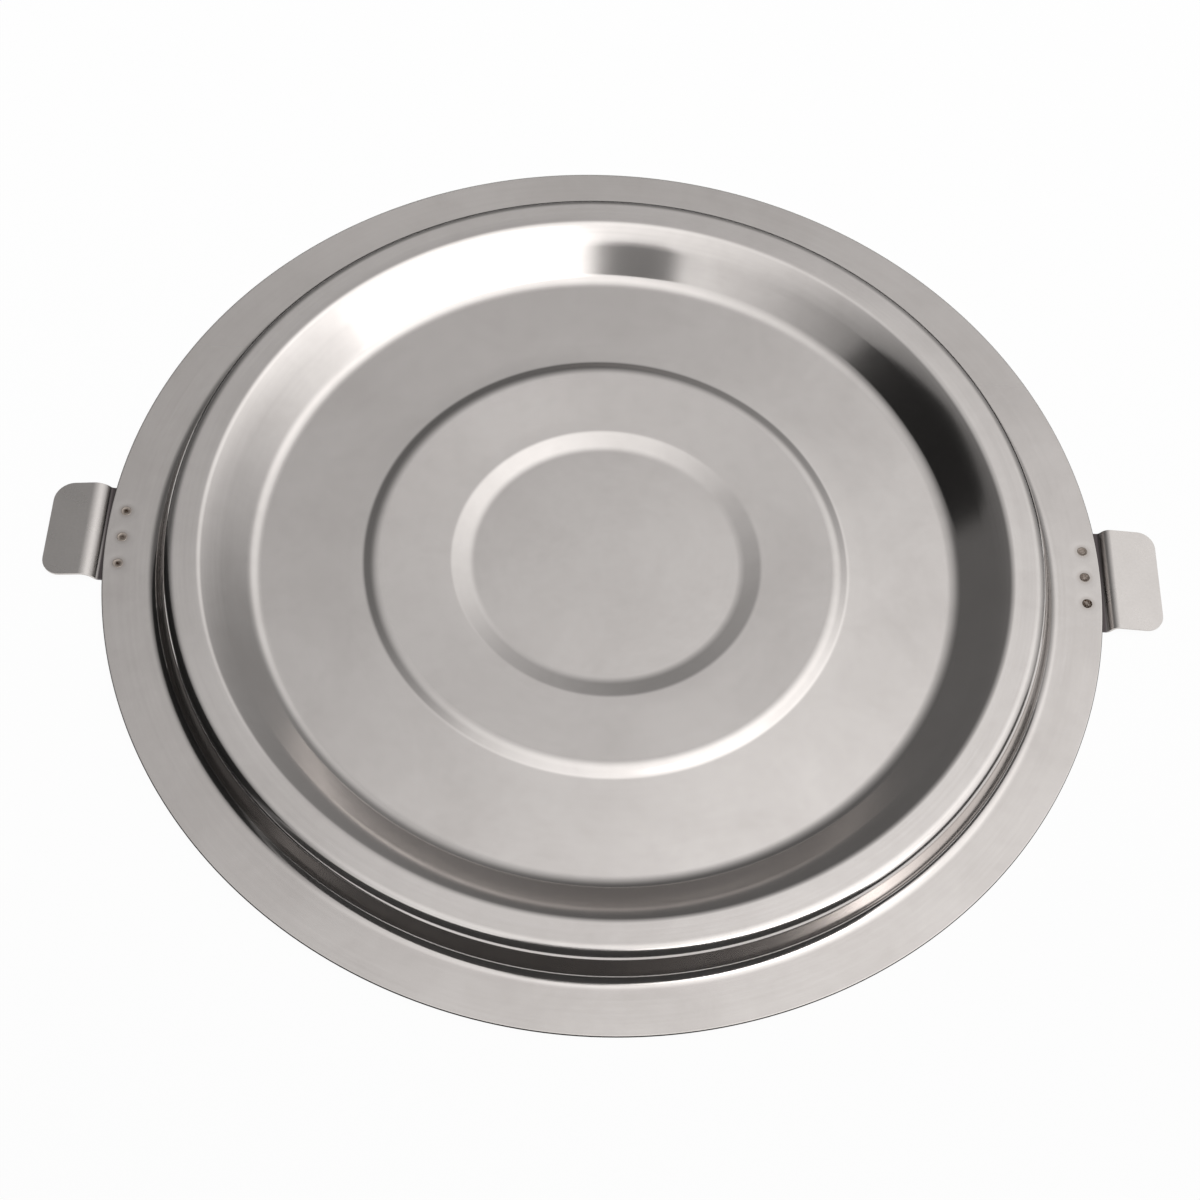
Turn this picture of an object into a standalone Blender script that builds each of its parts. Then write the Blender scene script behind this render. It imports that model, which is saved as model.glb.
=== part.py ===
"""Round pressed stainless cover with a ring ridge and two spot-welded tab handles.

Units are metres, +Z is up and the cover's axis is Z. Z = 0 is the underside of
the two handle feet, which is what the part stands on. The handles lie along X.
"""
import math

import bmesh
import bpy
from mathutils import Matrix, Vector

# Stock: one gauge of stainless sheet for the cover and for both handles.
SHEET = 0.0010

# Cover, from its axis outwards, measured on the upper face.
WELL_RADIUS = 0.0543         # flat round centre
INNER_STEP_RUN = 0.0077      # soft step up from the centre to the stiffening band
BAND_WIDTH = 0.0306          # raised stiffening band, a shallow cone that rises outwards
OUTER_STEP_RUN = 0.0045      # sharper step down from the band to the floor
FLOOR_WIDTH = 0.0435         # floor, a very shallow cone that falls to the foot of the slope
SLOPE_ANGLE = math.radians(37.3)
SHOULDER_RUN = 0.0055        # the slope eases off over this last run to the crest
SHOULDER_ANGLE = math.radians(30.5)
CREST_WIDTH = 0.0135         # flat top of the ring ridge, out to the top of its wall
WALL_DRAFT = math.radians(14)    # the wall leans inwards as it rises
FLANGE_WIDTH = 0.02180       # flat rim outside the wall

# Cover, heights of the upper face above the upper face of the flange.
WELL_RISE = 0.0001
BAND_INNER_RISE = 0.0019
BAND_OUTER_RISE = 0.0033
FLOOR_INNER_RISE = 0.0013
FLOOR_OUTER_RISE = 0.0005
CREST_RISE = 0.0151

# Cover, inside radius of each pressed bend.
WELL_BEND = 0.0110
BAND_INNER_BEND = 0.0048
BAND_OUTER_BEND = 0.0080
FLOOR_BEND = 0.0040
SLOPE_FOOT_BEND = 0.0090
SHOULDER_BEND = 0.0600
SLOPE_TOP_BEND = 0.0035
WALL_TOP_BEND = 0.0041
WALL_FOOT_BEND = 0.0050

# Handles: a folded strip, its foot under the flange and its tab beyond the edge.
HANDLE_WIDTH = 0.0450
FOOT_LENGTH = 0.0130         # part of the foot that lies under the flange
EDGE_CLEARANCE = 0.0003      # from the flange's edge to the start of the lower fold
TAB_REACH = 0.0235           # from the flange's edge to the end of the tab
TAB_CREST_RISE = 0.0024      # top of the upper fold above the flange's upper face
RISER_ANGLE = math.radians(54)
TAB_DROOP = math.radians(7)
LOWER_FOLD = 0.0015
UPPER_FOLD = 0.0042
TAB_CORNER = 0.0075
FOOT_CORNER = 0.0020
HANDLE_LEAD = math.radians(0.8)   # both handles sit a little behind the diameter

# Spot welds: three fused slugs a side, through the flange and the foot.
WELD_DIAMETER = 0.0039
WELD_SIDE_MARGIN = 0.01025   # from the handle's sides to the outer welds of a centred row
WELD_EDGE_DISTANCE = 0.0065  # from the flange's edge to the row of welds
RIGHT_WELD_SHIFT = 0.0012    # row's middle off the handle's middle line, towards the rear
LEFT_WELD_SHIFT = 0.0021     # row's middle off the handle's middle line, towards the front
WELD_CLEARANCE = 0.0001      # slug to the edge of its hole
WELD_INDENT = 0.0001         # slug's rim below the sheet's face
WELD_DISH = 0.00015          # hollow that the electrode leaves in each end
SEAM_GAP = 0.0001            # flange's underside to the foot

# Facets.
TURN_STEPS = 96
WELD_SIDES = 20
CORNER_STEPS = 6
ARC_STEP = math.radians(25)
SHARP_ANGLE = math.radians(35)
TOUCH = 1e-6                 # points closer than this are one point

WELD_PITCH = (HANDLE_WIDTH - 2 * WELD_SIDE_MARGIN) / 2
FLANGE_UNDERSIDE = SHEET + SEAM_GAP
FLANGE_TOP = FLANGE_UNDERSIDE + SHEET
SHOULDER_RISE = CREST_RISE - SHOULDER_RUN * math.tan(SHOULDER_ANGLE)
SLOPE_RUN = (SHOULDER_RISE - FLOOR_OUTER_RISE) / math.tan(SLOPE_ANGLE)
WALL_RUN = CREST_RISE * math.tan(WALL_DRAFT)
BAND_INNER_RADIUS = WELL_RADIUS + INNER_STEP_RUN
BAND_OUTER_RADIUS = BAND_INNER_RADIUS + BAND_WIDTH
FLOOR_INNER_RADIUS = BAND_OUTER_RADIUS + OUTER_STEP_RUN
FLOOR_OUTER_RADIUS = FLOOR_INNER_RADIUS + FLOOR_WIDTH
SHOULDER_RADIUS = FLOOR_OUTER_RADIUS + SLOPE_RUN
CREST_INNER_RADIUS = SHOULDER_RADIUS + SHOULDER_RUN
CREST_OUTER_RADIUS = CREST_INNER_RADIUS + CREST_WIDTH
WALL_FOOT_RADIUS = CREST_OUTER_RADIUS + WALL_RUN
FLANGE_RADIUS = WALL_FOOT_RADIUS + FLANGE_WIDTH


def left_of(vector):
    """The vector turned a quarter turn to its left."""
    return Vector((-vector.y, vector.x))


def offset_path(corners, bends, sheet, distance):
    """One face of a folded sheet, as points with an arc at each bend.

    corners are the corners of the sheet's left face, bends the inside radius at
    each inner corner, and distance how far this face lies to the left of that one.
    """
    runs = [(b - a).normalized() for a, b in zip(corners, corners[1:])]
    points = [corners[0] + left_of(runs[0]) * distance]
    for corner, before, after, bend in zip(corners[1:-1], runs, runs[1:], bends):
        turn = -before.angle_signed(after)
        side = math.copysign(1.0, turn)
        radius = bend - distance if side > 0 else bend + sheet + distance
        mitre = (left_of(before) + left_of(after)) / (1 + before.dot(after))
        face_corner = corner + mitre * distance
        start = face_corner - before * radius * math.tan(abs(turn) / 2)
        centre = start + left_of(before) * side * radius
        steps = max(1, math.ceil(abs(turn) / ARC_STEP))
        for step in range(steps + 1):
            spoke = Matrix.Rotation(turn * step / steps, 2) @ (start - centre)
            points.append(centre + spoke)
    points.append(corners[-1] + left_of(runs[-1]) * distance)
    return points


def sheet_outline(corners, bends, sheet):
    """Closed outline of a folded sheet whose left face has these corners."""
    left_face = offset_path(corners, bends, sheet, 0.0)
    right_face = offset_path(corners, bends, sheet, -sheet)
    return left_face + right_face[::-1]


def steel(name, colour, roughness):
    """Stainless steel with its own finish."""
    material = bpy.data.materials.new(name)
    material.use_nodes = True
    shader = material.node_tree.nodes["Principled BSDF"]
    shader.inputs["Base Color"].default_value = (*colour, 1.0)
    shader.inputs["Metallic"].default_value = 1.0
    shader.inputs["Roughness"].default_value = roughness
    return material


def add_object(name, bm, material=None, parent=None):
    """Turn a bmesh into a named object with outward faces and smooth rounds."""
    bmesh.ops.recalc_face_normals(bm, faces=bm.faces)
    mesh = bpy.data.meshes.new(name)
    bm.to_mesh(mesh)
    bm.free()
    mesh.shade_smooth()
    mesh.set_sharp_from_angle(angle=SHARP_ANGLE)
    if material:
        mesh.materials.append(material)
    item = bpy.data.objects.new(name, mesh)
    item.parent = parent
    bpy.context.scene.collection.objects.link(item)
    return item


def turned(outline, steps):
    """Spin an outline of (radius, height) points that ends on the axis at both ends."""
    bm = bmesh.new()
    verts = [bm.verts.new((point.x, 0.0, point.y)) for point in outline]
    edges = [bm.edges.new(pair) for pair in zip(verts, verts[1:])]
    bmesh.ops.spin(bm, geom=verts + edges, axis=(0, 0, 1), cent=(0, 0, 0),
                   angle=math.tau, steps=steps, use_merge=True)
    bmesh.ops.remove_doubles(bm, verts=bm.verts, dist=TOUCH)
    return bm


def cut_with(item, cutter):
    """Take the cutter out of the item."""
    modifier = item.modifiers.new("holes", "BOOLEAN")
    modifier.operation = "DIFFERENCE"
    modifier.solver = "EXACT"
    modifier.object = cutter


def make_cover():
    """The pressed sheet: centre, stiffening band, floor, slope, ridge, wall, flange."""
    corners = [
        Vector((0.0, WELL_RISE)),
        Vector((WELL_RADIUS, WELL_RISE)),
        Vector((BAND_INNER_RADIUS, BAND_INNER_RISE)),
        Vector((BAND_OUTER_RADIUS, BAND_OUTER_RISE)),
        Vector((FLOOR_INNER_RADIUS, FLOOR_INNER_RISE)),
        Vector((FLOOR_OUTER_RADIUS, FLOOR_OUTER_RISE)),
        Vector((SHOULDER_RADIUS, SHOULDER_RISE)),
        Vector((CREST_INNER_RADIUS, CREST_RISE)),
        Vector((CREST_OUTER_RADIUS, CREST_RISE)),
        Vector((WALL_FOOT_RADIUS, 0.0)),
        Vector((FLANGE_RADIUS, 0.0)),
    ]
    bends = [WELL_BEND, BAND_INNER_BEND, BAND_OUTER_BEND, FLOOR_BEND, SLOPE_FOOT_BEND,
             SHOULDER_BEND, SLOPE_TOP_BEND, WALL_TOP_BEND, WALL_FOOT_BEND]
    lift = Vector((0.0, FLANGE_TOP))
    outline = [point + lift for point in sheet_outline(corners, bends, SHEET)]
    bm = turned(outline, TURN_STEPS)
    return add_object("pressed_cover", bm, steel("satin_stainless", (0.62, 0.61, 0.59), 0.25))


def handle_corners():
    """Corners of the handle's upper face, from the foot's inner end to the tab's end."""
    foot_top = SHEET
    fold_start = FLANGE_RADIUS + EDGE_CLEARANCE
    foot_end = Vector((FLANGE_RADIUS - FOOT_LENGTH, foot_top))
    lower = Vector((fold_start + LOWER_FOLD * math.tan(RISER_ANGLE / 2), foot_top))

    # The upper fold's arc has its highest point at the tab's crest, and is
    # tangent to the riser below it and to the drooping tab beyond it.
    upper_radius = UPPER_FOLD + SHEET
    crest = FLANGE_TOP + TAB_CREST_RISE
    riser = Vector((math.cos(RISER_ANGLE), math.sin(RISER_ANGLE)))
    arc_start_height = crest - upper_radius * (1 - math.cos(RISER_ANGLE))
    to_arc = (arc_start_height - foot_top) / riser.y
    to_corner = upper_radius * math.tan((RISER_ANGLE + TAB_DROOP) / 2)
    upper = lower + riser * (to_arc + to_corner)

    tab_run = FLANGE_RADIUS + TAB_REACH - upper.x
    tab_end = upper + Vector((tab_run, -tab_run * math.tan(TAB_DROOP)))
    return [foot_end, lower, upper, tab_end]


def make_handle(name, side):
    """A strip folded twice: foot, riser and tab, with the tab's corners rounded."""
    outline = sheet_outline(handle_corners(), [LOWER_FOLD, UPPER_FOLD], SHEET)
    bm = bmesh.new()
    verts = [bm.verts.new((point.x, -HANDLE_WIDTH / 2, point.y)) for point in outline]
    profile = bm.faces.new(verts)
    grown = bmesh.ops.extrude_face_region(bm, geom=[profile])["geom"]
    moved = [part for part in grown if isinstance(part, bmesh.types.BMVert)]
    bmesh.ops.translate(bm, verts=moved, vec=(0.0, HANDLE_WIDTH, 0.0))

    # The outline starts and ends at the foot's inner end, and is halfway round at the tab's end.
    half = len(outline) // 2
    round_corners(bm, [outline[half - 1], outline[half]], TAB_CORNER)
    round_corners(bm, [outline[0], outline[-1]], FOOT_CORNER)
    finish = steel(name + "_stainless", (0.60, 0.59, 0.57), 0.22)
    return add_object(name, bm, finish, side)


def round_corners(bm, ends, radius):
    """Round the strip's corners at one end, whose two outline points are given.

    The edges to round are the short ones that cross the sheet's thickness there.
    """
    def at_end(vert):
        return any((Vector((vert.co.x, vert.co.z)) - end).length < TOUCH for end in ends)

    def across_sheet(edge):
        return abs(edge.verts[0].co.y - edge.verts[1].co.y) < TOUCH

    edges = [edge for edge in bm.edges
             if across_sheet(edge) and all(at_end(vert) for vert in edge.verts)]
    bmesh.ops.bevel(bm, geom=edges, offset=radius, offset_type="OFFSET", affect="EDGES",
                    segments=CORNER_STEPS, profile=0.5, clamp_overlap=False)


def weld_places(shift):
    """The three weld centres of one side, in that side's own frame."""
    row = FLANGE_RADIUS - WELD_EDGE_DISTANCE
    return [Vector((row, shift + place * WELD_PITCH, 0.0)) for place in (-1, 0, 1)]


def make_weld(name, place, side):
    """A fused slug through flange and foot, dished by the electrodes at both ends.

    Each dish is a parabola, so halfway out it still has three quarters of its depth.
    """
    radius = WELD_DIAMETER / 2
    low = WELD_INDENT
    high = FLANGE_TOP - WELD_INDENT
    outline = [
        Vector((0.0, high - WELD_DISH)),
        Vector((radius / 2, high - WELD_DISH * 3 / 4)),
        Vector((radius, high)),
        Vector((radius, low)),
        Vector((radius / 2, low + WELD_DISH * 3 / 4)),
        Vector((0.0, low + WELD_DISH)),
    ]
    bm = turned(outline, WELD_SIDES)
    weld = add_object(name, bm, steel(name + "_heat_tint", (0.20, 0.16, 0.13), 0.45), side)
    weld.location = place


def make_weld_cutter(name, places, side):
    """Three cylinders that open the flange and the foot for the slugs of one side."""
    bm = bmesh.new()
    for place in places:
        centre = Matrix.Translation(place + Vector((0.0, 0.0, FLANGE_TOP / 2)))
        bmesh.ops.create_cone(bm, cap_ends=True, segments=WELD_SIDES, matrix=centre,
                              radius1=WELD_DIAMETER / 2 + WELD_CLEARANCE,
                              radius2=WELD_DIAMETER / 2 + WELD_CLEARANCE,
                              depth=FLANGE_TOP + 2 * SHEET)
    cutter = add_object(name, bm, parent=side)
    cutter.hide_render = True
    cutter.display_type = "WIRE"
    return cutter


def make_side(word, bearing, weld_shift, cover):
    """One handle with its three welds, turned about the cover's axis to its bearing."""
    places = weld_places(weld_shift)
    side = bpy.data.objects.new(word + "_side", None)
    side.rotation_euler.z = bearing
    bpy.context.scene.collection.objects.link(side)
    cutter = make_weld_cutter(word + "_weld_holes", places, side)
    cut_with(cover, cutter)
    cut_with(make_handle(word + "_handle", side), cutter)
    # Front is towards -Y. The left side is turned round, so its row runs from the rear.
    words = ("front", "middle", "rear") if math.cos(bearing) > 0 else ("rear", "middle", "front")
    for place_word, place in zip(words, places):
        make_weld(f"{word}_spot_weld_{place_word}", place, side)


for item in list(bpy.data.objects):
    bpy.data.objects.remove(item, do_unlink=True)

cover = make_cover()
make_side("right", HANDLE_LEAD, RIGHT_WELD_SHIFT, cover)
make_side("left", math.pi - HANDLE_LEAD, LEFT_WELD_SHIFT, cover)
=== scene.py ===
"""Looks of a round pressed stainless cover with two spot-welded tab handles.

Metres, +Z up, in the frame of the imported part: the cover's axis is Z, the handles lie
along X, and Z = 0 is the surface that the handle feet stand on.
"""
import math

import bmesh
import bpy
from mathutils import Matrix, Vector


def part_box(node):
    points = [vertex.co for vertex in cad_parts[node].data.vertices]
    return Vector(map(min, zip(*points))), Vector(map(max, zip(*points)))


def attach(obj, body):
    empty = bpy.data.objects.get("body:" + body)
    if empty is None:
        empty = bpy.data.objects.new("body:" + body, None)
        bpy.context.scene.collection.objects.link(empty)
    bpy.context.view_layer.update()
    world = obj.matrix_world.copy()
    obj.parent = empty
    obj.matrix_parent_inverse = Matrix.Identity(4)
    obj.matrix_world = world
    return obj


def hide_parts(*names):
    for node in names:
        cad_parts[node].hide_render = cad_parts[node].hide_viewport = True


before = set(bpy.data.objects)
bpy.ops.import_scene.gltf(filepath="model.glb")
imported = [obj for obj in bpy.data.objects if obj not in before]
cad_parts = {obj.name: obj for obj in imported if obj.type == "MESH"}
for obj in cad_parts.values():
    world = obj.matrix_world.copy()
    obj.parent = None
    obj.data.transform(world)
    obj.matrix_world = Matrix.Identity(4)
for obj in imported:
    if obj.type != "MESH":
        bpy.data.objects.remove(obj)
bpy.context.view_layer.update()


# Pressed cover.
# One disc of 1 mm stainless sheet, drawn in a press to a dish with a ring ridge and a flat
# flange. The rolled flats stay satin; the tool burnishes the slopes and bends bright.
MM = 0.001
sheet = 1.0 * MM
cover_low, cover_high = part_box("pressed_cover")
flange_top = cover_low.z + sheet
flange_radius = cover_high.x
crest_rise = cover_high.z - flange_top
well_radius = 54.3 * MM
inner_step_run = 7.7 * MM
band_width = 30.6 * MM
outer_step_run = 4.5 * MM
floor_width = 43.5 * MM
slope_angle = math.radians(37.3)
shoulder_run = 5.5 * MM     # the slope eases off over this last run to the crest
shoulder_angle = math.radians(30.5)
crest_width = 13.5 * MM
well_rise = 0.1 * MM
band_inner_rise = 1.9 * MM
band_outer_rise = 3.15 * MM     # the outer step is a little lower than the solid's,
floor_inner_rise = 1.45 * MM    # which keeps its far side dark
floor_outer_rise = 0.5 * MM
wall_draft = math.radians(14)
well_bend = 11.0 * MM
band_inner_bend = 4.8 * MM
band_outer_bend = 8.0 * MM
floor_bend = 4.0 * MM
slope_foot_bend = 9.0 * MM
shoulder_bend = 60.0 * MM
slope_top_bend = 3.5 * MM
wall_top_bend = 4.1 * MM
wall_foot_bend = 5.0 * MM
rubbed = 2.0 * MM           # the tool rubs the flats this far past the corners of the bends
rim_rounding = 0.30 * MM    # the blanking tool rolls the edge over
rim_steps = 3               # facets in each quarter round of the rolled edge
sheared_shade_depth = 0.18 * MM   # the sheared face reaches this far in from the rim; its near-black is partly painted shade
turn_steps = 288
bend_step = math.radians(5)
support = 0.4 * MM          # rings of points this near to each bend keep the flats flat
ring_spacing = 9.0 * MM     # rings of points across the flats
touching = 0.001 * MM       # points nearer than this are one
crisp_angle = math.radians(40)  # edges that turn more than this stay crisp

weld_nodes = [f"{side}_spot_weld_{place}" for side in ("left", "right")
              for place in ("front", "middle", "rear")]
weld_centres = [sum(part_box(node), Vector()) / 2 for node in weld_nodes]
weld_radius = (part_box(weld_nodes[0])[1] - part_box(weld_nodes[0])[0]).y / 2
weld_clearance = 0.1 * MM
hole_sides = 32
punch_depth = 10.0 * MM     # more than both sheets, so the holes go right through

wall_run = crest_rise * math.tan(wall_draft)
band_inner = well_radius + inner_step_run
band_outer = band_inner + band_width
floor_inner = band_outer + outer_step_run
floor_outer = floor_inner + floor_width
shoulder_rise = crest_rise - shoulder_run * math.tan(shoulder_angle)
shoulder = floor_outer + (shoulder_rise - floor_outer_rise) / math.tan(slope_angle)
crest_inner = shoulder + shoulder_run
crest_outer = crest_inner + crest_width
wall_foot = crest_outer + wall_run


def left_of(run):
    """The direction a quarter turn to the left."""
    return Vector((-run.y, run.x))


def folded_face(corners, bends, depth):
    """Points along one face of a folded sheet: an arc at each bend, and rings on each flat.

    corners are the upper face's corners, bends the inside radius at each inner corner,
    and depth is how far this face lies below the upper one.
    """
    runs = [(b - a).normalized() for a, b in zip(corners, corners[1:])]
    arcs = [[corners[0] - left_of(runs[0]) * depth]]
    for corner, before, after, bend in zip(corners[1:-1], runs, runs[1:], bends):
        turn = -before.angle_signed(after)
        side = math.copysign(1.0, turn)
        radius = bend + depth if side > 0 else bend + sheet - depth
        mitre = (left_of(before) + left_of(after)) / (1 + before.dot(after))
        start = corner - mitre * depth - before * radius * math.tan(abs(turn) / 2)
        centre = start + left_of(before) * side * radius
        steps = math.ceil(abs(turn) / bend_step)
        arcs.append([centre + Matrix.Rotation(turn * step / steps, 2) @ (start - centre)
                     for step in range(steps + 1)])
    arcs.append([corners[-1] - left_of(runs[-1]) * depth])
    points = []
    for index, run in enumerate(runs):
        points += arcs[index]
        flat = (arcs[index + 1][0] - arcs[index][-1]).length
        margin = min(support, flat / 4)
        rings = math.ceil((corners[index + 1] - corners[index]).length / ring_spacing)
        points += [arcs[index][-1] + run * (margin + (flat - 2 * margin) * ring / rings)
                   for ring in range(rings + 1)]
    return points + arcs[-1]


def cover_outline():
    """The cover's closed outline, from the axis on its upper face, round the rim, and back."""
    rim_centre = flange_radius - rim_rounding
    corners = [Vector((radius, flange_top + rise)) for radius, rise in (
        (0.0, well_rise), (well_radius, well_rise), (band_inner, band_inner_rise),
        (band_outer, band_outer_rise), (floor_inner, floor_inner_rise),
        (floor_outer, floor_outer_rise), (shoulder, shoulder_rise), (crest_inner, crest_rise),
        (crest_outer, crest_rise), (wall_foot, 0.0), (rim_centre, 0.0))]
    bends = (well_bend, band_inner_bend, band_outer_bend, floor_bend, slope_foot_bend,
             shoulder_bend, slope_top_bend, wall_top_bend, wall_foot_bend)
    upper = folded_face(corners, bends, 0.0)
    lower = folded_face(corners, bends, sheet)
    rim = []
    for height, quarter in ((upper[-1].y - rim_rounding, 1), (lower[-1].y + rim_rounding, 0)):
        turns = [math.pi / 2 * (quarter - step / rim_steps) for step in range(rim_steps + 1)]
        rim += [Vector((rim_centre, height)) + rim_rounding * Vector((math.cos(turn), math.sin(turn)))
                for turn in turns]
    return upper[:-1] + rim + lower[-2::-1]


def press_polish(point):
    """1 where the press tool rubbed the sheet bright, 0 on the rolled flats."""
    bends = ((well_radius, band_inner), (band_outer, floor_inner), (floor_outer, crest_inner),
             (crest_outer, wall_foot))
    return float(any(inner - rubbed <= point.x <= outer + rubbed for inner, outer in bends))


def profile_object(name, points, **shades):
    """A chain of points in the XZ plane, each with the length run so far and other shades."""
    mesh = bpy.data.meshes.new(name)
    mesh.from_pydata([(point.x, 0.0, point.y) for point in points],
                     [(index, index + 1) for index in range(len(points) - 1)], [])
    path = [0.0]
    for before, after in zip(points, points[1:]):
        path.append(path[-1] + (after - before).length)
    for attribute, values in dict(path=path, **shades).items():
        mesh.attributes.new(attribute, "FLOAT", "POINT").data.foreach_set("value", values)
    item = bpy.data.objects.new(name, mesh)
    bpy.context.scene.collection.objects.link(item)
    return item


def add_node(tree, kind, inputs=None, **settings):
    """Add a node with these settings; each input is a value to set or a socket to link."""
    node = tree.nodes.new(kind)
    for setting, value in settings.items():
        setattr(node, setting, value)
    for key, value in (inputs or {}).items():
        if isinstance(value, bpy.types.NodeSocket):
            tree.links.new(value, node.inputs[key])
        else:
            node.inputs[key].default_value = value
    return node


def new_tree(name, **sockets):
    """An empty Geometry Nodes tree with geometry in and out and these named inputs."""
    tree = bpy.data.node_groups.new(name, "GeometryNodeTree")
    tree.interface.new_socket("Geometry", in_out="INPUT", socket_type="NodeSocketGeometry")
    for socket, kind in sockets.items():
        tree.interface.new_socket(socket, in_out="INPUT", socket_type="NodeSocket" + kind)
    tree.interface.new_socket("Geometry", in_out="OUTPUT", socket_type="NodeSocketGeometry")
    return tree, add_node(tree, "NodeGroupInput").outputs


def end_tree(tree, geometry, material):
    """Close a tree with real geometry in its material."""
    real = add_node(tree, "GeometryNodeRealizeInstances", {"Geometry": geometry})
    dressed = add_node(tree, "GeometryNodeSetMaterial",
                       {"Geometry": real.outputs[0], "Material": material})
    add_node(tree, "NodeGroupOutput", {"Geometry": dressed.outputs[0]})
    return tree


def make_real(item, tree, **values):
    """Run a tree on an object with these input values, and keep the result as its mesh."""
    modifier = item.modifiers.new(tree.name, "NODES")
    modifier.node_group = tree
    for socket in tree.interface.items_tree:
        if socket.in_out == "INPUT" and socket.name in values:
            modifier[socket.identifier] = values[socket.name]
    shape = item.evaluated_get(bpy.context.evaluated_depsgraph_get())
    mesh = bpy.data.meshes.new_from_object(shape)
    item.modifiers.remove(modifier)
    item.data = mesh
    return item


def turned_tree(*shades):
    """A profile turned about Z: a grid of profile points by turn steps, rolled up and closed."""
    tree, given = new_tree("turned_profile", Steps="Int", Finish="Material")
    profile = given["Geometry"]
    count = add_node(tree, "GeometryNodeAttributeDomainSize", {"Geometry": profile})
    rows = add_node(tree, "FunctionNodeIntegerMath", {0: given["Steps"], 1: 1}, operation="ADD")
    grid = add_node(tree, "GeometryNodeMeshGrid",
                    {"Vertices X": count.outputs["Point Count"], "Vertices Y": rows.outputs[0]})
    index = add_node(tree, "GeometryNodeInputIndex")
    along, turn = [add_node(tree, "FunctionNodeIntegerMath",
                            {0: index.outputs[0], 1: rows.outputs[0]}, operation=operation)
                   for operation in ("DIVIDE_FLOOR", "MODULO")]
    step = add_node(tree, "ShaderNodeMath", {0: math.tau, 1: given["Steps"]}, operation="DIVIDE")
    angle = add_node(tree, "ShaderNodeMath", {0: turn.outputs[0], 1: step.outputs[0]},
                     operation="MULTIPLY")
    place = add_node(tree, "GeometryNodeInputPosition")
    point = add_node(tree, "GeometryNodeSampleIndex", {"Geometry": profile, "Index": along.outputs[0]},
                     data_type="FLOAT_VECTOR", domain="POINT")
    tree.links.new(place.outputs[0], point.inputs["Value"])
    spun = add_node(tree, "ShaderNodeVectorRotate",
                    {"Vector": point.outputs[0], "Angle": angle.outputs[0]}, rotation_type="Z_AXIS")
    shape = grid.outputs["Mesh"]
    for shade in ("path",) + shades:
        kept = add_node(tree, "GeometryNodeInputNamedAttribute", {"Name": shade}, data_type="FLOAT")
        value = add_node(tree, "GeometryNodeSampleIndex",
                         {"Geometry": profile, "Index": along.outputs[0]},
                         data_type="FLOAT", domain="POINT")
        tree.links.new(kept.outputs["Attribute"], value.inputs["Value"])
        stored = add_node(tree, "GeometryNodeStoreNamedAttribute",
                          {"Geometry": shape, "Name": shade}, data_type="FLOAT", domain="POINT")
        tree.links.new(value.outputs[0], stored.inputs["Value"])
        shape = stored.outputs[0]
    rolled = add_node(tree, "GeometryNodeSetPosition", {"Geometry": shape, "Position": spun.outputs[0]})
    closed = add_node(tree, "GeometryNodeMergeByDistance",
                      {"Geometry": rolled.outputs[0], "Distance": touching})
    smooth = add_node(tree, "GeometryNodeSetShadeSmooth", {"Geometry": closed.outputs[0]})
    return end_tree(tree, smooth.outputs[0], given["Finish"])


def weld_holes_tree():
    """Round holes through a sheet at the points of another object, with crisp edges."""
    tree, given = new_tree("weld_holes", Places="Object", Radius="Float", Depth="Float",
                           Finish="Material")
    places = add_node(tree, "GeometryNodeObjectInfo", {"Object": given["Places"]})
    punch = add_node(tree, "GeometryNodeMeshCylinder",
                     {"Vertices": hole_sides, "Radius": given["Radius"], "Depth": given["Depth"]})
    punches = add_node(tree, "GeometryNodeInstanceOnPoints",
                       {"Points": places.outputs["Geometry"], "Instance": punch.outputs["Mesh"]})
    cut = add_node(tree, "GeometryNodeMeshBoolean",
                   {"Mesh 1": given["Geometry"], "Mesh 2": punches.outputs[0]},
                   operation="DIFFERENCE", solver="MANIFOLD")
    angle = add_node(tree, "GeometryNodeInputMeshEdgeAngle")
    sharp = add_node(tree, "FunctionNodeCompare", {0: angle.outputs[0], 1: crisp_angle},
                     operation="GREATER_THAN")
    crisp = add_node(tree, "GeometryNodeSetShadeSmooth",
                     {"Geometry": cut.outputs["Mesh"], "Selection": sharp.outputs[0],
                      "Shade Smooth": False}, domain="EDGE")
    return end_tree(tree, crisp.outputs[0], given["Finish"])


def outward(mesh):
    """Turn a closed mesh's faces outwards."""
    bm = bmesh.new()
    bm.from_mesh(mesh)
    bmesh.ops.recalc_face_normals(bm, faces=bm.faces)
    bm.to_mesh(mesh)
    bm.free()


def linear(hex_colour):
    """An sRGB hex colour as linear RGBA."""
    channels = [int(hex_colour[place:place + 2], 16) / 255 for place in (1, 3, 5)]
    return tuple(c / 12.92 if c <= 0.04045 else ((c + 0.055) / 1.055) ** 2.4
                 for c in channels) + (1.0,)


def bare_metal(name):
    """A metal with nothing on it yet: its material, node tree, shader and Object coordinates."""
    material = bpy.data.materials.new(name)
    material.use_nodes = True
    tree = material.node_tree
    shader = tree.nodes["Principled BSDF"]
    shader.inputs["Metallic"].default_value = 1.0
    return material, tree, shader, add_node(tree, "ShaderNodeTexCoord").outputs["Object"]


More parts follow.
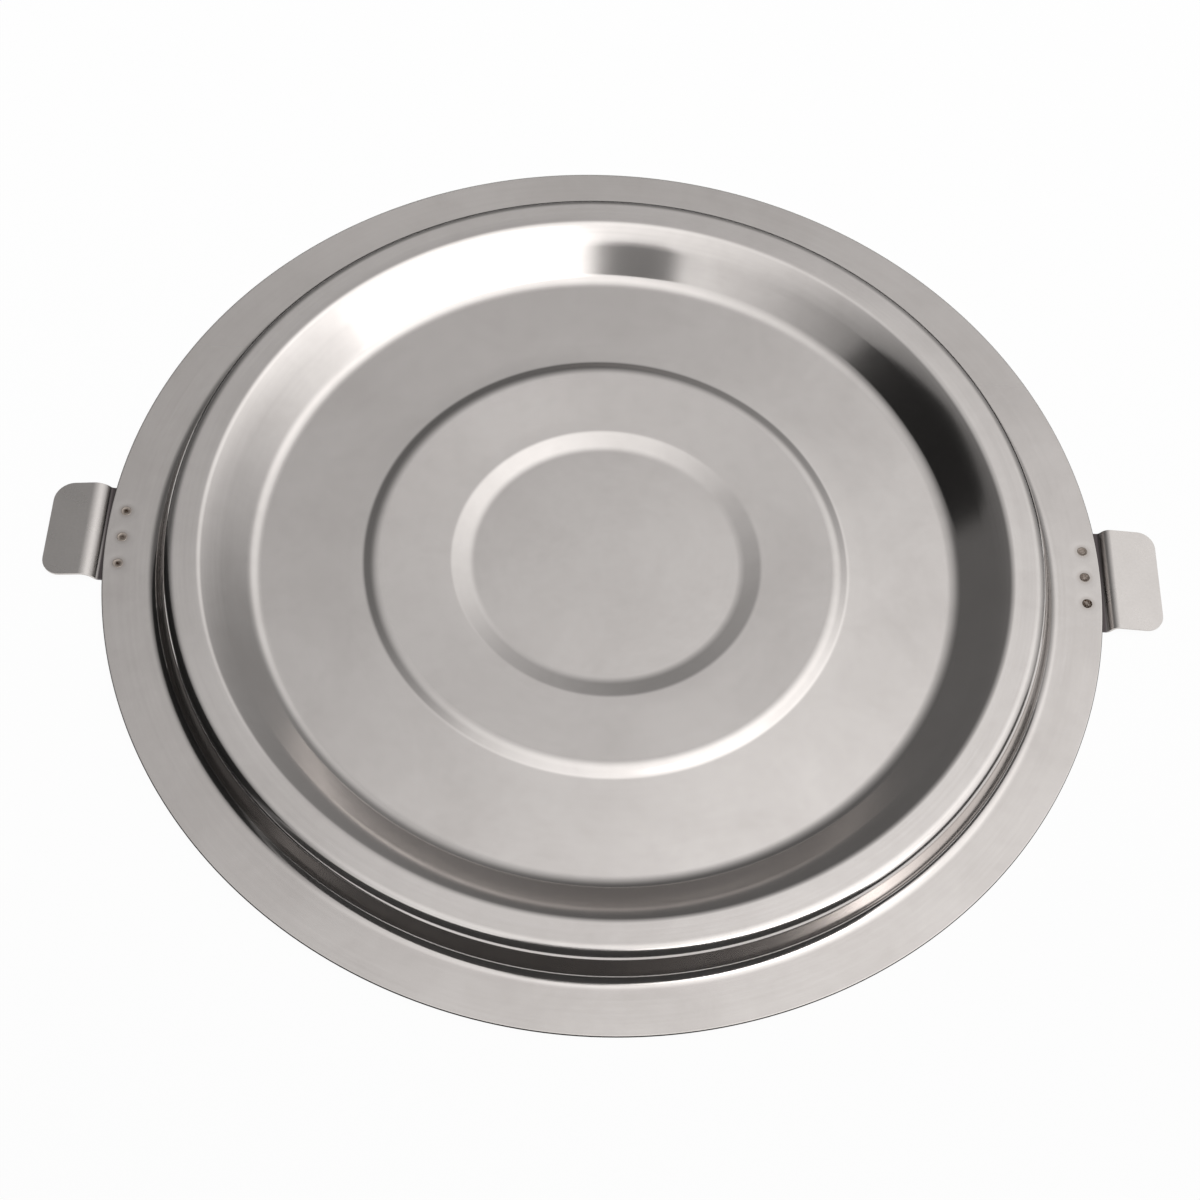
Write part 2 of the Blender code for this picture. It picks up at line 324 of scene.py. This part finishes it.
def polishing_rings(tree, axes, path):
    """Noise in rings round the axis, each of which fades in and out along its length."""
    # Real rings are about 0.05 mm apart; drawn 1.4 mm apart, or they wouldn't show.
    ring_pitch = 1.4 * MM
    ring_reach = 70.0 * MM
    across, round_x, round_y = [
        add_node(tree, "ShaderNodeMath", {0: length, 1: 1 / size}, operation="MULTIPLY").outputs[0]
        for length, size in ((path, ring_pitch), (axes["X"], ring_reach), (axes["Y"], ring_reach))]
    ring_place = add_node(tree, "ShaderNodeCombineXYZ", {0: across, 1: round_x, 2: round_y})
    rings = add_node(tree, "ShaderNodeTexNoise",
                     {"Vector": ring_place.outputs[0], "Scale": 1.0, "Detail": 3.0})
    return rings.outputs[0]


def nearest_weld(tree, place):
    """The distance to the middle of the nearest weld."""
    reaches = [add_node(tree, "ShaderNodeVectorMath", {0: place, 1: centre},
                        operation="DISTANCE").outputs["Value"] for centre in weld_centres]
    nearest = reaches[0]
    for reach in reaches[1:]:
        nearest = add_node(tree, "ShaderNodeMath", {0: nearest, 1: reach},
                           operation="MINIMUM").outputs[0]
    return nearest


def drawn_colour(tree, place, from_axis, from_weld, rings, clouds, cut):
    """Pale warm grey, ringed by the polish, hazed by handling, tinted by the welds' heat, and near-black on
    the sheared rim, partly painted shade.
    """
    spot_size = 7.0 * MM
    dull_ramp = 4.0 * MM
    halo_width = 2.2 * MM
    # Rings show most on the ridge and the flange.
    ring_share = add_node(tree, "ShaderNodeMapRange",
                          {0: from_axis, 1: floor_outer, 2: crest_inner, 3: 0.1, 4: 0.5})
    ring_swing = add_node(tree, "ShaderNodeMath", {0: rings, 1: 0.5}, operation="SUBTRACT")
    ring_tone = add_node(tree, "ShaderNodeMath",
                         {0: ring_swing.outputs[0], 1: ring_share.outputs[0], 2: 0.5},
                         operation="MULTIPLY_ADD")
    spots = add_node(tree, "ShaderNodeTexNoise",
                     {"Vector": place, "Scale": 1 / spot_size, "Detail": 3.0})
    haze = add_node(tree, "ShaderNodeMapRange", {0: clouds, 1: 0.38, 2: 0.68, 3: 0.0, 4: 0.2})
    specks = add_node(tree, "ShaderNodeMapRange",
                      {0: spots.outputs[0], 1: 0.45, 2: 0.75, 3: 0.0, 4: 0.06})
    # The flange is a little duller than the dish.
    dull = add_node(tree, "ShaderNodeMapRange",
                    {0: from_axis, 1: wall_foot, 2: wall_foot + dull_ramp, 3: 0.0, 4: 0.16})
    film = add_node(tree, "ShaderNodeMath", {0: haze.outputs[0], 1: specks.outputs[0]}, operation="ADD")
    film = add_node(tree, "ShaderNodeMath", {0: film.outputs[0], 1: dull.outputs[0]}, operation="ADD")
    heat = add_node(tree, "ShaderNodeMapRange",
                    {0: from_weld, 1: weld_radius, 2: weld_radius + halo_width, 3: 0.4, 4: 0.0},
                    interpolation_type="SMOOTHSTEP")
    colour = add_node(tree, "ShaderNodeMix",
                      {"Factor": ring_tone.outputs[0], 6: linear("#C6C1BE"), 7: linear("#DAD5D2")},
                      data_type="RGBA")
    # The sheared rim's near-black is partly the rough grey of a sheared face and partly painted shade,
    # standing in for the shadowed table that the edge mirrors.
    for share, tint in ((film.outputs[0], "#A8A29E"), (heat.outputs[0], "#8F847B"), (cut, "#2E2B29")):
        colour = add_node(tree, "ShaderNodeMix",
                          {"Factor": share, 6: colour.outputs[2], 7: linear(tint)}, data_type="RGBA")
    return colour.outputs[2]


def scored_share(tree, axes, from_axis, polish, grooves):
    """How much of the sheet is scored by deeper rings: the flats, and most at the flange's back."""
    deep = add_node(tree, "ShaderNodeMapRange", {0: polish, 3: 0.1, 4: 0.0})
    deep = add_node(tree, "ShaderNodeMath", {0: deep.outputs[0], 1: grooves}, operation="MULTIPLY")
    # On the flange the share is set by its look alone: small along the front, large at the back.
    back = add_node(tree, "ShaderNodeMapRange",
                    {0: axes["Y"], 1: 0.0, 2: flange_radius / 2, 3: 0.4, 4: 2.6})
    outside = add_node(tree, "ShaderNodeMath", {0: from_axis, 1: crest_outer}, operation="GREATER_THAN")
    uneven = add_node(tree, "ShaderNodeMix", {"Factor": outside.outputs[0], 2: 1.0, 3: back.outputs[0]})
    return add_node(tree, "ShaderNodeMath", {0: deep.outputs[0], 1: uneven.outputs[0]},
                    operation="MULTIPLY").outputs[0]


def drawn_stainless():
    """Cold-rolled stainless, drawn: soft grey reflections on the flats, clear ones on the bends.

    Polishing leaves fine rings round the axis, and the heat of each weld a straw-brown halo.
    """
    cloud_size = 45.0 * MM      # patches from the rolls and from handling
    wave_length = 60.0 * MM     # the sheet is wavy by a few hundredths of a millimetre
    wave_height = 0.15 * MM
    dent_width = 4.0 * MM       # the electrodes press the sheet in this far round each weld
    dent_depth = 0.06 * MM
    ring_depth = 0.01 * MM
    material, tree, shader, place = bare_metal("cold_rolled_stainless_drawn")
    axes = add_node(tree, "ShaderNodeSeparateXYZ", {0: place}).outputs
    level_place = add_node(tree, "ShaderNodeVectorMath", {0: place, 1: (1.0, 1.0, 0.0)},
                           operation="MULTIPLY")
    from_axis = add_node(tree, "ShaderNodeVectorMath", {0: level_place.outputs[0]},
                         operation="LENGTH").outputs["Value"]
    path, polish, cut = [add_node(tree, "ShaderNodeAttribute", attribute_name=name).outputs["Fac"]
                         for name in ("path", "polish", "cut")]
    from_weld = nearest_weld(tree, place)
    rings = polishing_rings(tree, axes, path)
    clouds = add_node(tree, "ShaderNodeTexNoise",
                      {"Vector": place, "Scale": 1 / cloud_size, "Detail": 5.0, "Roughness": 0.6,
                       "Distortion": 0.4}).outputs[0]
    colour = drawn_colour(tree, place, from_axis, from_weld, rings, clouds, cut)
    tree.links.new(colour, shader.inputs["Base Color"])

    flat_rough, bright_rough = [
        add_node(tree, "ShaderNodeMapRange", {0: clouds, 1: 0.3, 2: 0.7, 3: least, 4: most}).outputs[0]
        for least, most in ((0.17, 0.24), (0.12, 0.16))]
    rough = add_node(tree, "ShaderNodeMix", {"Factor": polish, 2: flat_rough, 3: bright_rough})
    edge_rough = add_node(tree, "ShaderNodeMix", {"Factor": cut, 2: rough.outputs[0], 3: 0.45})
    tree.links.new(edge_rough.outputs[0], shader.inputs["Roughness"])

    # The rings spread a reflection across them, along the radius, on all but the flat centre.
    grooves = add_node(tree, "ShaderNodeMapRange",
                       {0: from_axis, 1: well_radius, 2: band_inner, 3: 0.0, 4: 1.0}).outputs[0]
    grooved = add_node(tree, "ShaderNodeMapRange", {0: polish, 3: 0.5, 4: 0.1})
    grooved = add_node(tree, "ShaderNodeMath", {0: grooved.outputs[0], 1: grooves}, operation="MULTIPLY")
    tree.links.new(grooved.outputs[0], shader.inputs["Anisotropic"])
    tree.links.new(place, shader.inputs["Tangent"])

    waves = add_node(tree, "ShaderNodeTexNoise",
                     {"Vector": place, "Scale": 1 / wave_length, "Detail": 1.0})
    wavy = add_node(tree, "ShaderNodeBump",
                    {"Height": waves.outputs[0], "Strength": 0.5, "Distance": wave_height})
    pressed_in = add_node(tree, "ShaderNodeMapRange",
                          {0: from_weld, 1: weld_radius, 2: weld_radius + dent_width, 3: 0.0, 4: 1.0},
                          interpolation_type="SMOOTHSTEP")
    dimpled = add_node(tree, "ShaderNodeBump",
                       {"Height": pressed_in.outputs[0], "Strength": 1.0, "Distance": dent_depth,
                        "Normal": wavy.outputs[0]})
    brushed = add_node(tree, "ShaderNodeBump",
                       {"Height": rings, "Strength": 0.15, "Distance": ring_depth,
                        "Normal": dimpled.outputs[0]})
    tree.links.new(brushed.outputs[0], shader.inputs["Normal"])

    # The deeper rings throw light much further along the radius, as a bright wedge on each side.
    scored = add_node(tree, "ShaderNodeBsdfAnisotropic",
                      {"Color": colour, "Roughness": 0.36, "Anisotropy": -0.7, "Tangent": place,
                       "Normal": wavy.outputs[0]})
    both = add_node(tree, "ShaderNodeMixShader",
                    {0: scored_share(tree, axes, from_axis, polish, grooves),
                     1: shader.outputs[0], 2: scored.outputs[0]})
    tree.links.new(both.outputs[0], tree.nodes["Material Output"].inputs["Surface"])
    return material


outline = cover_outline()
cover_finish = drawn_stainless()
cover = profile_object(
    "drawn_cover", outline, polish=[press_polish(point) for point in outline],
    cut=[float(point.x > flange_radius - sheared_shade_depth) for point in outline])
places_mesh = bpy.data.meshes.new("weld_places")
places_mesh.from_pydata(weld_centres, [], [])
weld_places = bpy.data.objects.new("weld_places", places_mesh)
bpy.context.scene.collection.objects.link(weld_places)
make_real(cover, turned_tree("polish", "cut"), Steps=turn_steps, Finish=cover_finish)
outward(cover.data)
weld_holes = weld_holes_tree()
hole = dict(Places=weld_places, Radius=weld_radius + weld_clearance, Depth=punch_depth)
make_real(cover, weld_holes, Finish=cover_finish, **hole)
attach(cover, "root")
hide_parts("pressed_cover")


# Tab handles.
# Each is a strip of the same sheet, sheared, folded up and out, and spot-welded by its foot
# under the flange. The two differ a little in width, fold and droop.
foot_top = sheet
foot_length = 13.0 * MM
fold_start = flange_radius + 0.3 * MM
lower_fold = 1.5 * MM
foot_corner = 2.0 * MM
deburr = 0.12 * MM
corner_steps = 8
columns = 12
handle_shapes = {
    "right": dict(bearing=math.radians(0.8), twist=math.radians(0.15), width=45.9 * MM,
                  corner=7.2 * MM, reach=23.6 * MM, crest=2.25 * MM,
                  riser_angle=math.radians(55.6), droop=math.radians(5.4), upper_fold=2.6 * MM),
    "left": dict(bearing=math.radians(179.2), twist=math.radians(-0.6), width=42.9 * MM,
                 corner=7.9 * MM, reach=23.4 * MM, crest=2.05 * MM,
                 riser_angle=math.radians(51.6), droop=math.radians(9.7), upper_fold=5.8 * MM),
}


def handle_corners(reach, crest, riser_angle, droop, upper_fold):
    """Corners of a handle's upper face in its own plane, from the foot's inner end to the tab's."""
    lower = Vector((fold_start + lower_fold * math.tan(riser_angle / 2), foot_top))
    riser = Vector((math.cos(riser_angle), math.sin(riser_angle)))
    upper_radius = upper_fold + sheet
    arc_foot = flange_top + crest - upper_radius * (1 - math.cos(riser_angle))
    to_corner = upper_radius * math.tan((riser_angle + droop) / 2)
    upper = lower + riser * ((arc_foot - foot_top) / riser.y + to_corner)
    tab_run = flange_radius + reach - upper.x
    return [Vector((flange_radius - foot_length, foot_top)), lower, upper,
            upper + Vector((tab_run, -tab_run * math.tan(droop)))]


def rounded_rows(points, inner_corner, outer_corner):
    """Rows (point, inset of the row's ends) of a strip with both ends' corners rounded."""
    turns = [math.pi / 2 * step / corner_steps for step in range(corner_steps + 1)]
    start, end = points[0], points[-1]
    inward_run = (points[1] - start).normalized()
    outward_run = (end - points[-2]).normalized()
    first = [(start + inward_run * inner_corner * (1 - math.cos(turn)),
              inner_corner * (1 - math.sin(turn))) for turn in turns]
    last = [(end - outward_run * outer_corner * (1 - math.sin(turn)),
             outer_corner * (1 - math.cos(turn))) for turn in turns]
    middle = [(point, 0.0) for point in points
              if (point - start).length > inner_corner + support
              and (point - end).length > outer_corner + support]
    return first + middle + last


def vertex_loop(grid):
    """The vertices round the edge of a grid of rows."""
    return (grid[0] + [row[-1] for row in grid[1:]] + grid[-1][-2::-1]
            + [row[0] for row in grid[-2:0:-1]])


def folded_strip(name, bearing, twist, width, corner, **fold):
    """A handle as a closed strip, placed on its bearing round the cover's axis."""
    corners = handle_corners(**fold)
    bends = (lower_fold, fold["upper_fold"])
    faces = [rounded_rows(folded_face(corners, bends, depth), foot_corner, corner)
             for depth in (0.0, sheet)]
    bm = bmesh.new()
    grids = [[[bm.verts.new((point.x, (width / 2 - inset) * (2 * column / columns - 1), point.y))
               for column in range(columns + 1)] for point, inset in face] for face in faces]
    for grid in grids:
        for row, following in zip(grid, grid[1:]):
            for column in range(columns):
                bm.faces.new((row[column], row[column + 1], following[column + 1], following[column]))
    upper, lower = [vertex_loop(grid) for grid in grids]
    for index in range(len(upper)):
        bm.faces.new((upper[index - 1], upper[index], lower[index], lower[index - 1]))
    bmesh.ops.recalc_face_normals(bm, faces=bm.faces)
    hinge = Matrix.Translation((fold_start, 0.0, 0.0))
    bm.transform(Matrix.Rotation(bearing, 4, "Z") @ hinge @ Matrix.Rotation(twist, 4, "Z")
                 @ hinge.inverted())
    mesh = bpy.data.meshes.new(name)
    bm.to_mesh(mesh)
    bm.free()
    mesh.shade_smooth()
    strip = bpy.data.objects.new(name, mesh)
    bpy.context.scene.collection.objects.link(strip)
    return strip


def soften_edges(item):
    """Take the sharpness off a sheared edge, and keep the faces beside it flat."""
    bevel = item.modifiers.new("deburred", "BEVEL")
    bevel.width = deburr
    bevel.segments = 2
    bevel.limit_method = "ANGLE"
    bevel.angle_limit = crisp_angle
    bevel.harden_normals = True
    mesh = bpy.data.meshes.new_from_object(
        item.evaluated_get(bpy.context.evaluated_depsgraph_get()))
    item.modifiers.remove(bevel)
    item.data = mesh


def folded_stainless():
    """Cold-rolled strip, sheared and folded: an even grainy satin, with painted shade and some heat tint in
    the fold.
    """
    # Grain of the rolled strip is about 0.05 mm; drawn 0.9 mm wide, or it wouldn't show.
    grain_size = 0.9 * MM
    grain_depth = 0.02 * MM
    cloud_size = 12.0 * MM
    fold_shade_width = 2.3 * MM
    material, tree, shader, place = bare_metal("cold_rolled_stainless_folded")
    grain = add_node(tree, "ShaderNodeTexNoise",
                     {"Vector": place, "Scale": 1 / grain_size, "Detail": 3.0})
    clouds = add_node(tree, "ShaderNodeTexNoise",
                      {"Vector": place, "Scale": 1 / cloud_size, "Detail": 4.0})
    rough = add_node(tree, "ShaderNodeMapRange",
                     {0: clouds.outputs[0], 1: 0.3, 2: 0.7, 3: 0.24, 4: 0.34})
    tree.links.new(rough.outputs[0], shader.inputs["Roughness"])
    steel = add_node(tree, "ShaderNodeMix",
                     {"Factor": grain.outputs[0], 6: linear("#C6C1BD"), 7: linear("#D2CDCA")},
                     data_type="RGBA")
    # Painted shade sits in the fold, darkest against the flange's edge, with a purplish tinge of heat tint.
    axes = add_node(tree, "ShaderNodeSeparateXYZ", {0: place})
    out = add_node(tree, "ShaderNodeMath", {0: axes.outputs["X"]}, operation="ABSOLUTE")
    # Painted shade: the fold is darkened towards the flange's edge, where shade falls.
    fold_shade = add_node(tree, "ShaderNodeMapRange",
                     {0: out.outputs[0], 1: fold_start, 2: fold_start + fold_shade_width, 3: 0.9, 4: 0.0},
                     interpolation_type="SMOOTHSTEP")
    fold_shaded = add_node(tree, "ShaderNodeMix",
                     {"Factor": fold_shade.outputs[0], 6: steel.outputs[2], 7: linear("#30262A")},
                     data_type="RGBA")
    tree.links.new(fold_shaded.outputs[2], shader.inputs["Base Color"])
    pitted = add_node(tree, "ShaderNodeBump",
                      {"Height": grain.outputs[0], "Strength": 0.2, "Distance": grain_depth})
    tree.links.new(pitted.outputs[0], shader.inputs["Normal"])
    return material


handle_finish = folded_stainless()
for side, shape in handle_shapes.items():
    handle = folded_strip(f"folded_{side}_handle", **shape)
    soften_edges(handle)
    make_real(handle, weld_holes, Finish=handle_finish, **hole)
    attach(handle, "root")
    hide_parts(f"{side}_handle")


# Spot welds.
# Three fused slugs a side hold each foot to the flange. The electrodes leave a shallow mark on
# each, burnt dark brown in a spot on the left and in a ring on the right, each a little different.
weld_low, weld_high = (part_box(weld_nodes[0])[end].z for end in (0, 1))
weld_middle = (weld_low + weld_high) / 2
slug_outline = (     # radius, and height over the CAD slug's end, in millimetres
    (0.0, -0.01), (0.45, -0.03), (0.85, -0.06), (1.25, -0.03), (1.6, 0.05), (1.85, 0.09), (2.03, 0.095))
slug_sides = 24
weld_marks = dict(   # for each weld, in the order of weld_nodes
    burn=(1.0, 0.9, 1.0, 0.95, 0.8, 0.7),
    ringed=(0.0, 0.0, 0.0, 1.0, 0.9, 0.8))


def slug_profile():
    """Half of a slug's section about its middle: a small nub, a dished ring and a rim, both ends."""
    upper = [Vector((radius * MM, weld_high - weld_middle + height * MM)) for radius, height in slug_outline]
    lower = [Vector((radius * MM, weld_low - weld_middle - height * MM)) for radius, height in slug_outline]
    return upper + lower[::-1]


def welds_tree():
    """One slug at each point, each turned by chance; the point's own shades go with it."""
    tree, given = new_tree("spot_welds", Slug="Object", Seed="Int", Finish="Material")
    slug = add_node(tree, "GeometryNodeObjectInfo", {"Object": given["Slug"]})
    turn = add_node(tree, "FunctionNodeRandomValue", {"Seed": given["Seed"]}, data_type="FLOAT")
    angle = add_node(tree, "ShaderNodeMath", {0: turn.outputs[1], 1: math.tau}, operation="MULTIPLY")
    spin = add_node(tree, "ShaderNodeCombineXYZ", {2: angle.outputs[0]})
    slugs = add_node(tree, "GeometryNodeInstanceOnPoints",
                     {"Points": given["Geometry"], "Instance": slug.outputs["Geometry"],
                      "Rotation": spin.outputs[0]})
    return end_tree(tree, slugs.outputs[0], given["Finish"])


def burnt_stainless():
    """Stainless fused and oxidised by a spot welder: rough and straw grey, burnt dark brown."""
    spatter_size = 0.6 * MM
    spatter_depth = 0.1 * MM
    straying = 0.6 * MM         # how far the burn's outline strays
    material, tree, shader, place = bare_metal("spot_weld_heat_tint")
    path, burn, ringed = [add_node(tree, "ShaderNodeAttribute", attribute_name=name).outputs["Fac"]
                          for name in ("path", "burn", "ringed")]
    spatter = add_node(tree, "ShaderNodeTexNoise",
                       {"Vector": place, "Scale": 1 / spatter_size, "Detail": 3.0}).outputs[0]
    stray = add_node(tree, "ShaderNodeMapRange",
                     {0: spatter, 1: 0.25, 2: 0.75, 3: -straying, 4: straying})
    ragged = add_node(tree, "ShaderNodeMath", {0: path, 1: stray.outputs[0]}, operation="ADD")
    spot = add_node(tree, "ShaderNodeMapRange",
                    {0: ragged.outputs[0], 1: 0.5 * MM, 2: 1.8 * MM, 3: 1.0, 4: 0.0},
                    interpolation_type="SMOOTHSTEP")
    ring = add_node(tree, "ShaderNodeMapRange",
                    {0: ragged.outputs[0], 1: 0.4 * MM, 2: 1.2 * MM, 3: 0.45, 4: 1.0},
                    interpolation_type="SMOOTHSTEP")
    mark = add_node(tree, "ShaderNodeMix", {"Factor": ringed, 2: spot.outputs[0], 3: ring.outputs[0]})
    patchy = add_node(tree, "ShaderNodeMapRange", {0: spatter, 1: 0.3, 2: 0.6, 3: 0.55, 4: 1.1})
    patches = add_node(tree, "ShaderNodeMath", {0: mark.outputs[0], 1: patchy.outputs[0]},
                       operation="MULTIPLY")
    dark = add_node(tree, "ShaderNodeMath", {0: patches.outputs[0], 1: burn},
                    operation="MULTIPLY", use_clamp=True)
    colour = add_node(tree, "ShaderNodeMix",
                      {"Factor": dark.outputs[0], 6: linear("#B3A89F"), 7: linear("#36271C")},
                      data_type="RGBA")
    tree.links.new(colour.outputs[2], shader.inputs["Base Color"])
    rough = add_node(tree, "ShaderNodeMapRange", {0: spatter, 3: 0.3, 4: 0.6})
    tree.links.new(rough.outputs[0], shader.inputs["Roughness"])
    pitted = add_node(tree, "ShaderNodeBump",
                      {"Height": spatter, "Strength": 0.5, "Distance": spatter_depth})
    tree.links.new(pitted.outputs[0], shader.inputs["Normal"])
    return material


weld_finish = burnt_stainless()
slug = profile_object("slug", slug_profile())
make_real(slug, turned_tree(), Steps=slug_sides, Finish=weld_finish)
outward(slug.data)
weld_places.name = "spot_welds"
for attribute, values in weld_marks.items():
    weld_places.data.attributes.new(attribute, "FLOAT", "POINT").data.foreach_set("value", values)
welds = make_real(weld_places, welds_tree(), Slug=slug, Seed=4, Finish=weld_finish)
bpy.data.objects.remove(slug)
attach(welds, "root")
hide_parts(*weld_nodes)


# Floor.
# A seamless white table top. It shows as white to the eye and in the steel, and keeps a
# trace of the shadow that the part drops on it.
floor_half = 30.0
white_share = 0.95          # the rest is lit as any matt top is, and holds the shadow
floor_mesh = bpy.data.meshes.new("white_table")
floor_mesh.from_pydata([(x * floor_half, y * floor_half, 0.0)
                        for x, y in ((-1, -1), (1, -1), (1, 1), (-1, 1))], [], [(0, 1, 2, 3)])
white_table = bpy.data.objects.new("white_table", floor_mesh)
bpy.context.scene.collection.objects.link(white_table)
table_finish = bpy.data.materials.new("matt_white_laminate")
table_finish.use_nodes = True
tree = table_finish.node_tree
tree.nodes.clear()
rays = add_node(tree, "ShaderNodeLightPath").outputs
seen = add_node(tree, "ShaderNodeMath", {0: rays["Is Camera Ray"], 1: rays["Is Glossy Ray"]},
                operation="MAXIMUM")
seen = add_node(tree, "ShaderNodeMath", {0: seen.outputs[0], 1: rays["Is Transmission Ray"]},
                operation="MAXIMUM")
share = add_node(tree, "ShaderNodeMath", {0: seen.outputs[0], 1: white_share}, operation="MULTIPLY")
matt = add_node(tree, "ShaderNodeBsdfDiffuse", {"Color": linear("#F2F2F2")})
glow = add_node(tree, "ShaderNodeEmission", {"Color": linear("#FFFFFF"), "Strength": 1.0})
mixed = add_node(tree, "ShaderNodeMixShader",
                 {0: share.outputs[0], 1: matt.outputs[0], 2: glow.outputs[0]})
add_node(tree, "ShaderNodeOutputMaterial", {"Surface": mixed.outputs[0]})
floor_mesh.materials.append(table_finish)


# Studio.
# A white light tent, brightest where the lamps shine through its roof and its right side. A
# black card stands on the left, a black cloth lies round the back and left of the part, and
# grey cards stand in front and on the right, with a slot that the camera looks through.
view_bearing = math.radians(3.175)
tent_shade = 0.15
# Each glow has a bearing, clockwise from straight behind the part, an elevation and a reach in
# degrees, and a brightness, where 1 is white. They are matched to how the steel looks.
tent_glow = (
    (139, 62, 56, 0.55),
    (120, 60, 80, 0.64),
    (110, 50, 45, 0.28),
    (130, 50, 25, 2.60),
    (45, 56, 28, 0.20),
    (0, 65, 50, 0.22),
    (40, 25, 45, 0.18),
    (-135, 48, 28, 0.12),
)
matt_black = "#060606"
left_card = -2.00           # the places of cards are across, back and up, as the camera sees them
left_card_outline = ((0.90, 0.00), (-0.92, 0.00), (-0.92, 2.25), (-0.45, 2.32), (0.32, 2.22),
                     (0.90, 1.67))
cloth_height = 1.0 * MM
cloth_corners = ((0.60, 0.16), (0.60, 0.60), (left_card, 0.87), (left_card, -0.66))
cloth_arc = range(250, 10, -5)      # degrees round the part, from its front left to its back right
cloth_radius = 204.0 * MM
handle_radius = 226.5 * MM          # where the cloth goes round the left handle
handle_arc = range(165, 200, 5)
front_left, front_right, wing_end = (-1.00, -0.62), (1.00, -0.62), (1.25, 0.25)
front_height = 0.85
wing_height = 0.40
slot_back = -0.60
slot_outline = ((-0.15, 0.85), (0.14, 0.85), (0.14, 1.16), (0.09, 1.25), (-0.09, 1.25), (-0.15, 1.14))


def aim(bearing, elevation):
    """The direction towards a bearing and an elevation, both in degrees."""
    bearing = math.radians(bearing) + view_bearing
    elevation = math.radians(elevation)
    return Vector((math.sin(bearing) * math.cos(elevation),
                   math.cos(bearing) * math.cos(elevation), math.sin(elevation)))


def card(name, corners, colour):
    """A stiff matt card that shades the part and shows in it, but not to the camera."""
    mesh = bpy.data.meshes.new(name)
    mesh.from_pydata([Matrix.Rotation(-view_bearing, 3, "Z") @ Vector(corner) for corner in corners],
                     [], [tuple(range(len(corners)))])
    finish = bpy.data.materials.new(name)
    finish.use_nodes = True
    finish.node_tree.nodes["Principled BSDF"].inputs["Base Color"].default_value = linear(colour)
    finish.node_tree.nodes["Principled BSDF"].inputs["Roughness"].default_value = 0.9
    mesh.materials.append(finish)
    item = bpy.data.objects.new(name, mesh)
    item.visible_camera = False
    bpy.context.scene.collection.objects.link(item)
    return item


def upright(start, end, height):
    """Corners of an oblong card that stands on the table between two places."""
    return [(*start, 0.0), (*end, 0.0), (*end, height), (*start, height)]


card("black_card", [(left_card, back, up) for back, up in left_card_outline], matt_black)
cloth_edge = [(handle_radius if angle in handle_arc else cloth_radius, math.radians(angle))
              for angle in cloth_arc]
cloth = card("black_cloth", [(*corner, cloth_height) for corner in cloth_corners]
             + [(radius * math.cos(angle), radius * math.sin(angle), cloth_height)
                for radius, angle in cloth_edge], matt_black)
cloth.visible_diffuse = False       # only the steel sees it: the table beside it stays white
cloth.visible_shadow = False
card("dark_front", upright(front_left, front_right, front_height), "#585858")
card("grey_wing", upright(front_right, wing_end, wing_height), "#8A8A8A")
card("camera_slot", [(across, slot_back, up) for across, up in slot_outline], "#969696")

world = bpy.data.worlds.new("light_tent")
bpy.context.scene.world = world
world.use_nodes = True
tree = world.node_tree
heading = add_node(tree, "ShaderNodeTexCoord").outputs["Generated"]
brightness = tent_shade
for bearing, elevation, reach, glow_strength in tent_glow:
    near = add_node(tree, "ShaderNodeVectorMath", {0: heading, 1: aim(bearing, elevation)},
                    operation="DOT_PRODUCT")
    glow = add_node(tree, "ShaderNodeMapRange",
                    {0: near.outputs["Value"], 1: math.cos(math.radians(reach)), 2: 1.0, 3: 0.0,
                     4: glow_strength}, interpolation_type="SMOOTHSTEP")
    brightness = add_node(tree, "ShaderNodeMath", {0: brightness, 1: glow.outputs[0]},
                          operation="ADD").outputs[0]
tree.links.new(brightness, tree.nodes["Background"].inputs["Strength"])
tree.nodes["Background"].inputs["Color"].default_value = linear("#FFFFFF")


# Camera.
# A long lens, tipped well down on the part and rolled a little.
camera_distance = 984.5 * MM
camera_tip = math.radians(59.53)        # below the level
camera_roll = math.radians(5.546)
look_at = Matrix.Rotation(-view_bearing, 4, "Z") @ Vector((-1.05 * MM, -17.88 * MM, flange_top))
camera_data = bpy.data.cameras.new("camera")
camera_data.sensor_width = 36.0
camera_data.lens = 74.31
camera = bpy.data.objects.new("camera", camera_data)
camera.matrix_world = (Matrix.Translation(look_at) @ Matrix.Rotation(-view_bearing, 4, "Z")
                       @ Matrix.Rotation(math.pi / 2 - camera_tip, 4, "X")
                       @ Matrix.Rotation(camera_roll, 4, "Z")
                       @ Matrix.Translation((0.0, 0.0, camera_distance)))
bpy.context.scene.collection.objects.link(camera)
bpy.context.scene.camera = camera
bpy.context.scene.view_settings.view_transform = "Standard"
